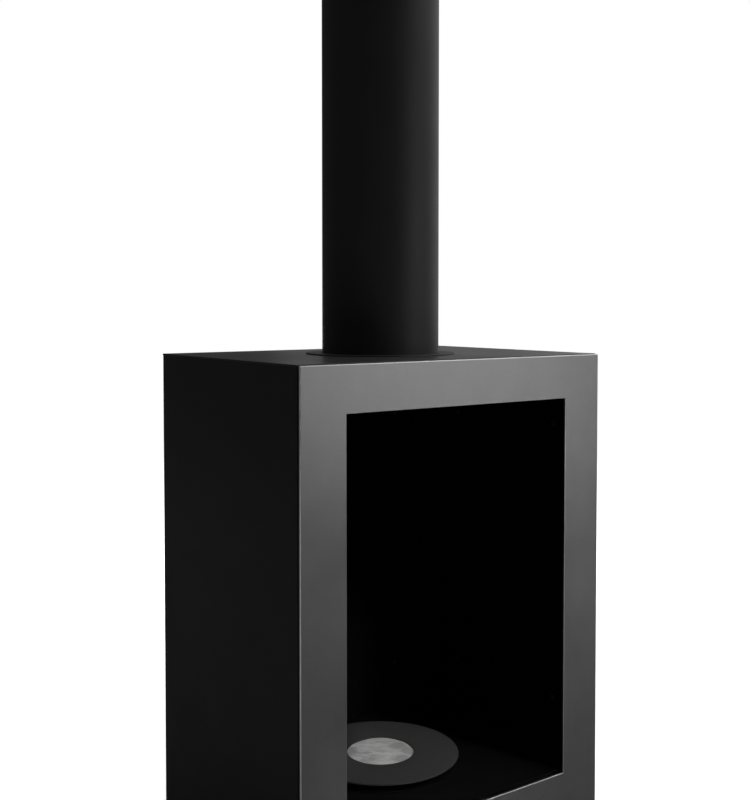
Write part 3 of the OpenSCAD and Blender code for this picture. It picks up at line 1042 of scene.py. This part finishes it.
@dataclass
class Burner:
    """The drop-in can with its wool, and the loose ring on top.

    The wool's unevenness is three layers of noise, each with its waves in a metre along and across
    the fibres, where it is read, and its share of the lumps' height.
    """

    can_wall: float = 1.5 * MM
    can_bend: float = 2 * MM
    flange_reach: float = 12 * MM
    flange_drop: float = 9.1 * MM
    ring_edge: float = 0.4 * MM
    ring_round: float = 0.3 * MM
    flame_hole: float = 43.5 * MM
    swell: float = 42.7 * MM
    swell_rise: float = 0.2 * MM
    rim_fall: float = 0.7 * MM
    ring_gap: float = 0.8 * MM
    neck: float = 78 * MM
    shoulder_reach: float = 8 * MM
    shoulder_drop: float = 12 * MM
    lump: float = 2.2 * MM
    lump_fade: float = 3 * MM
    rim_lump: float = 0.35
    pressed: float = 0.3 * MM
    layers: tuple[tuple[float, float, Point3, float], ...] = (
        (38.0, 80.0, (3.1, 7.7, 0.4), 0.5),
        (110.0, 230.0, (9.2, 1.4, 5.5), 0.16),
        (400.0, 620.0, (4.4, 2.2, 8.1), 0.06),
    )
    rings: int = 96
    spokes: int = 240

    def build(self, bench: Bench) -> None:
        """Turns the can and the ring, and packs the wool.

        Args:
            bench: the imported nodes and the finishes.
        """
        bench.fit(self.can(), "burner", Slot.FIREBOX_BLACK, "fuel_reservoir")
        wool = bench.fit(self.wool(), "burner", Slot.CERAMIC_WOOL, "ceramic_wool")
        bench.fit(self.ring(), "ring", Slot.RING_GREY, "burner_ring")
        bench.dress("ring_pins", Slot.ZINC)

    def can(self) -> Piece:
        """Draws a can with a turned-out flange a little under its rim.

        Returns:
            The can.
        """
        low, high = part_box("fuel_reservoir")
        wall, reach = self.can_wall, high.x - self.flange_reach
        under = high.z - self.flange_drop - wall
        over = under + wall
        corners = [
            (0, low.z), (reach, low.z), (reach, under), (high.x, under), (high.x, over), (reach, over),
            (reach, high.z), (reach - wall, high.z), (reach - wall, low.z + wall), (0, low.z + wall),
        ]
        return turned("drawn_can", filleted(corners, self.can_bend, 6), 192)

    def ring(self) -> Piece:
        """Cuts the flat ring plate and rounds its edges softly.

        Returns:
            The ring.
        """
        low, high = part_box("burner_ring")
        hole, edge = self.flame_hole, self.ring_edge
        corners = [
            (hole, low.z), (high.x - edge, low.z), (high.x, low.z + edge), (high.x, high.z - edge),
            (high.x - edge, high.z), (hole + edge, high.z), (hole, high.z - edge),
        ]
        return turned("flame_ring", filleted(corners, self.ring_round), 256)

    def wool_height(self, reach: float, top: float, crown: float) -> float:
        """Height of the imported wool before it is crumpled.

        Args:
            reach: distance from the axis.
            top: height of the flat wool beside the flame hole.
            crown: height of the swell in the flame hole.

        Returns:
            The height at that distance.
        """
        if reach <= self.swell:
            return crown - self.rim_fall * (reach / self.swell) ** 4
        if reach <= self.neck:
            return top
        drop = (reach - self.neck) / self.shoulder_reach
        return top - self.shoulder_drop * min(1.0, drop) ** 2

    def wool(self) -> Piece:
        """Packs a crumpled pad on a polar grid: uneven on top, plain where the can hides it.

        Returns:
            The wool.
        """
        low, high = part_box("ceramic_wool")
        top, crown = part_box("burner_ring")[0].z - self.ring_gap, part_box("burner_ring")[1].z + self.swell_rise
        limit, spokes = high.x, self.spokes
        turns = [2 * math.pi * spoke / spokes for spoke in range(spokes)]
        points: list[Point3] = [(0.0, 0.0, crown)]
        for ring in range(1, self.rings + 1):
            reach = limit * ring / self.rings
            for angle in turns:
                x, y = reach * math.cos(angle), reach * math.sin(angle)
                points.append((x, y, self.wool_height(reach, top, crown) + self.crumple(x, y, reach)))
        floor = len(points)
        points += [(limit * math.cos(angle), limit * math.sin(angle), low.z) for angle in turns]
        points.append((0.0, 0.0, low.z))
        rim = floor - spokes
        faces: list[tuple[int, ...]] = []
        for spoke in range(spokes):
            after = (spoke + 1) % spokes
            faces.append((0, 1 + spoke, 1 + after))
            for near in range(1, rim, spokes):
                far = near + spokes
                faces.append((near + spoke, far + spoke, far + after, near + after))
            faces.append((rim + spoke, floor + spoke, floor + after, rim + after))
            faces.append((floor + spoke, len(points) - 1, floor + after))
        return mesh_piece("fibre_wool", points, faces, sharp_deg=80.0)

    def crumple(self, x: float, y: float, reach: float) -> float:
        """Lumps, folds and a fine nap of the wool's top.

        Args:
            x: place across.
            y: place along.
            reach: distance from the axis.

        Returns:
            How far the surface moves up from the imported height; never up under the ring.
        """
        lie = math.radians(WOOL_LIE_DEG)
        along = x * math.cos(lie) + y * math.sin(lie)
        across = y * math.cos(lie) - x * math.sin(lie)
        total = 0.0
        for waves_along, waves_across, (start_x, start_y, start_z), share in self.layers:
            spot = Vector((along * waves_along + start_x, across * waves_across + start_y, start_z))
            total += share * noise.noise(spot)
        height = self.lump * total
        if reach > self.swell:
            return min(0.0, height - self.pressed)
        return height * min(1.0, (self.swell - reach) / self.lump_fade + self.rim_lump)


@dataclass
class Snuffer:
    """The lid that puts the flame out, beside the burner.

    The grip's outline is given as a share of its head's radius and a height, up from its foot for
    the lower half and down from its top for the upper one.
    """

    lid_thickness: float = 2 * MM
    lid_round: float = 0.6 * MM
    stud: float = 2.5 * MM
    stud_play: float = 0.1 * MM
    bore_depth: float = 12.5 * MM
    grip_foot: tuple[Point2, ...] = (
        (0.7, 0.0), (0.7, 1.5 * MM), (0.5, 3 * MM), (0.5, 7 * MM), (0.8, 10 * MM), (1.0, 13 * MM),
    )
    grip_top: tuple[Point2, ...] = ((1.0, 4 * MM), (0.85, 1.2 * MM), (0.6, 0.0))
    grip_round: float = 1.2 * MM
    flutes: int = 12
    flute_depth: float = 0.35 * MM
    fluted_from: float = 0.93

    def build(self, bench: Bench) -> None:
        """Turns the lid with its stud, and the knob.

        Args:
            bench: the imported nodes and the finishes.
        """
        bench.fit(self.lid(), "snuffer", Slot.RING_GREY, "snuffer_lid")
        bench.fit(self.knob(), "snuffer", Slot.KNOB_BLACK, "snuffer_knob")

    def lid(self) -> Piece:
        """Turns a flat disc with a rounded rim and its stud on top.

        Returns:
            The lid.
        """
        low, high, centre, reach = standing("snuffer_lid")
        face = low.z + self.lid_thickness
        corners = [
            (0, low.z), (reach, low.z), (reach, face), (self.stud, face), (self.stud, high.z), (0, high.z),
        ]
        return turned("snuffer_disc", filleted(corners, self.lid_round), 160, centre)

    def knob(self) -> Piece:
        """Turns a waisted knob with a domed top and grip flutes round its head.

        Returns:
            The knob.
        """
        low, high, centre, reach = standing("snuffer_knob")
        foot, top, bore = low.z, high.z, self.stud + self.stud_play
        corners = [(bore, foot)]
        corners += [(share * reach, foot + up) for share, up in self.grip_foot]
        corners += [(share * reach, top - down) for share, down in self.grip_top]
        corners += [(0, top), (0, foot + self.bore_depth), (bore, foot + self.bore_depth)]

        def fluted(r: float, z: float, angle: float) -> Point2:
            """Presses shallow flutes into the head's side.

            Args:
                r: a point's radius.
                z: its height.
                angle: its angle round the knob.

            Returns:
                Its new radius and height.
            """
            if r < self.fluted_from * reach:
                return r, z
            return r - self.flute_depth * (0.5 + 0.5 * math.cos(self.flutes * angle)) ** 2, z

        return turned("snuffer_grip", filleted(corners, self.grip_round, 5), 144, centre, fluted)


@dataclass
class Flue:
    """Collar, pipe and rosette, with their screws."""

    wall: float = 2 * MM
    lip_round: float = 0.5 * MM
    collar_gap: float = 0.2 * MM
    collar_flange_z: float = 601 * MM
    socket: float = 73.25 * MM
    socket_depth: float = 55 * MM
    stop: float = 71.5 * MM
    stop_height: float = 3 * MM
    pipe_rows: int = 40
    seam_width: float = 2.4 * MM
    seam_rise: float = 0.22 * MM
    seam_depth: float = 0.6 * MM
    seam_ripple: float = 0.9 * MM
    rosette_gap: float = 0.4 * MM
    rosette_edge: float = 0.6 * MM
    rosette_round: float = 0.4 * MM

    def build(self, bench: Bench) -> None:
        """Turns the three round pieces and dresses the screws.

        Args:
            bench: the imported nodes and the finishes.
        """
        bench.fit(self.pipe(), "casing", Slot.PIPE_BLACK, "flue_pipe")
        bench.fit(self.collar(), "casing", Slot.PIPE_BLACK, "flue_collar")
        bench.fit(self.rosette(), "rosette", Slot.PIPE_BLACK, "pipe_rosette")
        bench.dress("collar_screws", Slot.ZINC)
        bench.dress("pipe_screws", Slot.SCREW_BLACK)

    def pipe(self) -> Piece:
        """Rolls a seam-welded pipe with a socket at its top; the seam faces the wall.

        Returns:
            The pipe.
        """
        low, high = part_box("flue_pipe")
        reach, mouth, bore = high.x, high.z, high.x - self.wall
        seat = mouth - self.socket_depth
        rise = (mouth - low.z) / self.pipe_rows
        outside = [(reach, low.z + rise * row) for row in range(self.pipe_rows)]
        lip = [
            (reach, mouth), (self.socket, mouth), (self.socket, seat), (self.stop, seat),
            (self.stop, seat - self.stop_height), (bore, seat - self.stop_height),
        ]
        section = [(bore, low.z), *outside, *filleted_run(lip, self.lip_round)]

        def seamed(r: float, z: float, angle: float) -> Point2:
            """Raises the dressed weld seam on the outside.

            Args:
                r: a point's radius.
                z: its height.
                angle: its angle round the pipe.

            Returns:
                Its new radius and height.
            """
            across = (angle - math.pi / 2) * reach / (self.seam_width / 2)
            if r < reach - self.seam_depth or abs(across) > 1:
                return r, z
            ripple = 0.85 + 0.15 * math.sin(z / self.seam_ripple)
            return r + self.seam_rise * ripple * (1 - across**2), z

        return turned("rolled_pipe", section, 480, shape=seamed)

    def collar(self) -> Piece:
        """Turns the collar inside the foot of the pipe, with its flange under the top panel.

        Returns:
            The collar.
        """
        low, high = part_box("flue_collar")
        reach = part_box("flue_pipe")[1].x - self.wall - self.collar_gap
        bore, under, over = reach - self.wall, self.collar_flange_z, self.collar_flange_z + self.wall
        corners = [
            (bore, low.z), (reach, low.z), (reach, under), (high.x, under), (high.x, over), (reach, over),
            (reach, high.z), (bore, high.z),
        ]
        return turned("flanged_collar", filleted(corners, self.lip_round), 256)

    def rosette(self) -> Piece:
        """Turns the loose flat ring round the foot of the pipe.

        Returns:
            The rosette.
        """
        low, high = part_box("pipe_rosette")
        hole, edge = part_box("flue_pipe")[1].x + self.rosette_gap, self.rosette_edge
        corners = [
            (hole, low.z), (high.x, low.z), (high.x, high.z - edge), (high.x - edge, high.z), (hole, high.z),
        ]
        return turned("foot_rosette", filleted(corners, self.rosette_round), 320)


@dataclass
class Feet:
    """Four levelling feet and the weld nuts that they turn in."""

    places: tuple[str, ...] = ("front_left", "front_right", "rear_left", "rear_right")
    pad_height: float = 6 * MM
    pad_edge: float = 1 * MM
    pad_round: float = 0.5 * MM
    hollow: float = 0.6 * MM
    hollow_reach: Point2 = (2.4 * MM, 3 * MM)
    shoulder: float = 7 * MM
    shoulder_top: float = 9.7 * MM
    stud: float = 3.9 * MM
    stud_point: float = 1 * MM
    pitch: float = 1.25 * MM
    thread_depth: float = 0.6 * MM
    rows_per_turn: int = 8

    def build(self, bench: Bench) -> None:
        """Builds each foot and dresses the nuts.

        Args:
            bench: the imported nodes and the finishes.
        """
        for place in self.places:
            node = f"foot_{place}"
            bench.fit(self.foot(node), node, Slot.FOOT_BLACK, node)
        bench.dress("foot_nuts", Slot.ZINC)

    def foot(self, node: str) -> Piece:
        """Moulds a pad and shoulder on a threaded stud.

        Args:
            node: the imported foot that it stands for.

        Returns:
            The foot.
        """
        low, high, centre, reach = standing(node)
        edge, top, steps = self.pad_edge, self.pad_height, 3
        inner, outer = self.hollow_reach
        corners = [
            (outer, low.z), (reach - edge, low.z), (reach, low.z + edge), (reach, top - edge),
            (reach - edge, top), (self.shoulder, top), (self.shoulder, self.shoulder_top),
        ]
        base = filleted(corners, self.pad_round, steps)[steps:-steps - 1]
        start, end = self.shoulder_top, high.z - self.stud_point
        rows = round((end - start) / self.pitch * self.rows_per_turn)
        stud = [(self.stud, start + (end - start) * i / rows) for i in range(rows + 1)]
        roof = low.z + self.hollow
        section = [(0, roof), (inner, roof), *base, *stud, (self.stud - self.stud_point, high.z), (0, high.z)]

        def threaded(r: float, z: float, angle: float) -> Point2:
            """Cuts the thread into the stud.

            Args:
                r: a point's radius.
                z: its height.
                angle: its angle round the stud.

            Returns:
                Its new radius and height.
            """
            if abs(r - self.stud) > MICRON or z < start + MICRON:
                return r, z
            turn = (z / self.pitch - angle / (2 * math.pi)) % 1.0
            return r - self.thread_depth * (1 - abs(2 * turn - 1)), z

        return turned(f"levelling_{node}", section, 64, centre, threaded)


# ---------------------------------------------------------------- studio


@dataclass
class SoftLight:
    """One soft rectangular light that the camera doesn't see."""

    name: str
    place: Point3
    aim: Point3
    width: float
    height: float
    radiance: float
    spread_deg: float = 180.0

    def build(self) -> None:
        """Makes the light, turned to its aim."""
        lamp = bpy.data.lights.new(self.name, "AREA")
        lamp.shape, lamp.size, lamp.size_y = "RECTANGLE", self.width, self.height
        lamp.energy = math.pi * self.radiance * self.width * self.height
        lamp.spread = math.radians(self.spread_deg)
        light = bpy.data.objects.new(self.name, lamp)
        light.location = self.place
        light.rotation_mode = "QUATERNION"
        light.rotation_quaternion = (Vector(self.aim) - Vector(self.place)).to_track_quat("-Z", "Y")
        light.visible_camera = False
        bpy.context.scene.collection.objects.link(light)


@dataclass
class Studio:
    """Camera, soft lights, pale surroundings and a pale floor.

    The floor is white to the camera but for the contact shadow. What the stove mirrors of it is a painted floor
    colour: dim in a strip along the floor's dim line, and painted light to both sides of it.
    """

    eye: Point3 = (-0.8488, -1.1490, 0.6710)
    turn_deg: float = 36.212
    tilt_deg: float = -1.956
    lens_mm: float = 49.77
    sensor_mm: float = 36.0
    shift: Point2 = (-0.0002, -0.0748)
    clip: Point2 = (0.02, 60.0)
    floor_size: float = 24.0
    floor_white: float = 0.9
    shadow_reach: Point2 = (0.42, 1.3)
    shadow_lift: Point2 = (0.7, 0.97)
    across_dim_line: Point3 = (0.84, 0.545, 0.0)
    dim_reach: Point2 = (0.1, 0.9)
    painted_dim_floor: float = 0.17
    painted_lit_floor: float = 0.75
    surround: float = 0.052
    lights: tuple[SoftLight, ...] = (
        SoftLight("key", (1.32, -1.92, 0.66), (0.0, -0.1, 0.5), 1.2, 1.0, 1.5),
        SoftLight("pipe_glow", (1.72, -1.72, 1.95), (0.0, 0.0, 0.95), 1.4, 1.2, 0.88),
        SoftLight("right_side", (2.25, 0.48, 1.25), (0.0, 0.0, 0.9), 2.2, 2.2, 0.8),
        SoftLight("back_right", (2.1, 2.2, 0.95), (0.0, 0.0, 0.7), 1.6, 1.2, 0.42),
        SoftLight("back_left", (-1.6, 2.2, 1.2), (0.0, 0.0, 0.6), 2.0, 1.6, 0.02),
        SoftLight("back_fill", (0.75, 2.0, 0.28), (0.05, 0.165, 0.3), 0.6, 0.5, 0.3, 45.0),
        SoftLight("overhead", (1.7, -0.3, 2.9), (0.0, -0.1, 0.6), 1.3, 1.3, 2.8),
        SoftLight("sky", (0.0, 0.4, 3.5), (0.0, 0.0, 0.0), 3.0, 3.0, 0.5),
        SoftLight("burner_light", (0.45, -1.5, 1.75), (0.0, -0.02, 0.08), 0.4, 0.4, 0.72, 15.0),
        SoftLight("floor_behind", (0.7, 1.6, 2.6), (0.7, 1.5, 0.0), 1.6, 1.6, 1.4, 70.0),
        SoftLight("floor_before", (-1.6, -1.7, 2.6), (-1.5, -1.6, 0.0), 1.2, 1.2, 1.2, 50.0),
    )

    def camera(self) -> None:
        """Sets up the scene's camera."""
        data = bpy.data.cameras.new("camera")
        data.lens, data.sensor_width = self.lens_mm, self.sensor_mm
        data.shift_x, data.shift_y = self.shift
        data.clip_start, data.clip_end = self.clip
        camera = bpy.data.objects.new("camera", data)
        camera.location = self.eye
        camera.rotation_euler = (math.radians(90 + self.tilt_deg), 0.0, math.radians(-self.turn_deg))
        bpy.context.scene.collection.objects.link(camera)
        bpy.context.scene.camera = camera

    def build(self) -> None:
        """Sets up lights, surroundings and floor."""
        bpy.context.scene.view_settings.view_transform = "Standard"
        for light in self.lights:
            light.build()
        self.surroundings()
        self.floor()

    def surroundings(self) -> None:
        """White to the camera, and a dim even glow to everything else."""
        world = bpy.data.worlds.new("surroundings")
        bpy.context.scene.world = world
        world.use_nodes = True
        world.node_tree.nodes.clear()
        graph = Graph(world.node_tree)
        white = opaque(grey(1.0))
        seen = graph.add("Background", {"Color": white, "Strength": 1.0}).outputs[0]
        glow = graph.add("Background", {"Color": white, "Strength": self.surround}).outputs[0]
        ray = graph.add("LightPath").outputs["Is Camera Ray"]
        mixed = graph.add("MixShader", {0: ray, 1: glow, 2: seen}).outputs[0]
        graph.add("OutputWorld", {"Surface": mixed})

    def floor(self) -> None:
        """A pale floor that keeps only the contact shadow; in reflections it shows a painted floor colour, dim
        in a strip and painted light to both sides.
        """
        half = self.floor_size / 2
        outline = [(-half, -half, 0.0), (half, -half, 0.0), (half, half, 0.0), (-half, half, 0.0)]
        plane = mesh_piece("pale_floor", outline, [(0, 1, 2, 3)])
        material = bpy.data.materials.new("pale_floor")
        material.use_nodes = True
        material.node_tree.nodes.clear()
        graph = Graph(material.node_tree)
        place = graph.place()
        white = graph.add("BsdfDiffuse", {"Color": opaque(grey(self.floor_white))}).outputs[0]
        lift = graph.ramp(graph.vector("LENGTH", place), *self.shadow_reach, *self.shadow_lift)
        glow = graph.add("Emission", {"Color": opaque(grey(1.0)), "Strength": lift}).outputs[0]
        bright = graph.add("AddShader", {0: white, 1: glow}).outputs[0]
        # Painted light on the floor as reflections see it: dim in a strip, painted light to both sides.
        aside = graph.math("ABSOLUTE", graph.vector("DOT_PRODUCT", place, self.across_dim_line))
        share = graph.ramp(aside, *self.dim_reach, self.painted_dim_floor, self.painted_lit_floor)
        dim = graph.add("BsdfDiffuse", {"Color": share}).outputs[0]
        ray = graph.add("LightPath").outputs["Is Camera Ray"]
        mixed = graph.add("MixShader", {0: ray, 1: dim, 2: bright}).outputs[0]
        graph.add("OutputMaterial", {"Surface": mixed})
        plane.data.materials.append(material)


def main() -> None:
    """Builds the camera, the sub-assemblies and the studio."""
    logging.basicConfig(level=logging.INFO, format="%(name)s: %(message)s")
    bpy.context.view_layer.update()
    studio = Studio()
    studio.camera()
    bench = Bench(frame["nodes"])
    for assembly in (FrontFrame(), Casing(), Firebox(), Burner(), Snuffer(), Flue(), Feet()):
        assembly.build(bench)
    studio.build()


if __name__ == "__main__":
    main()
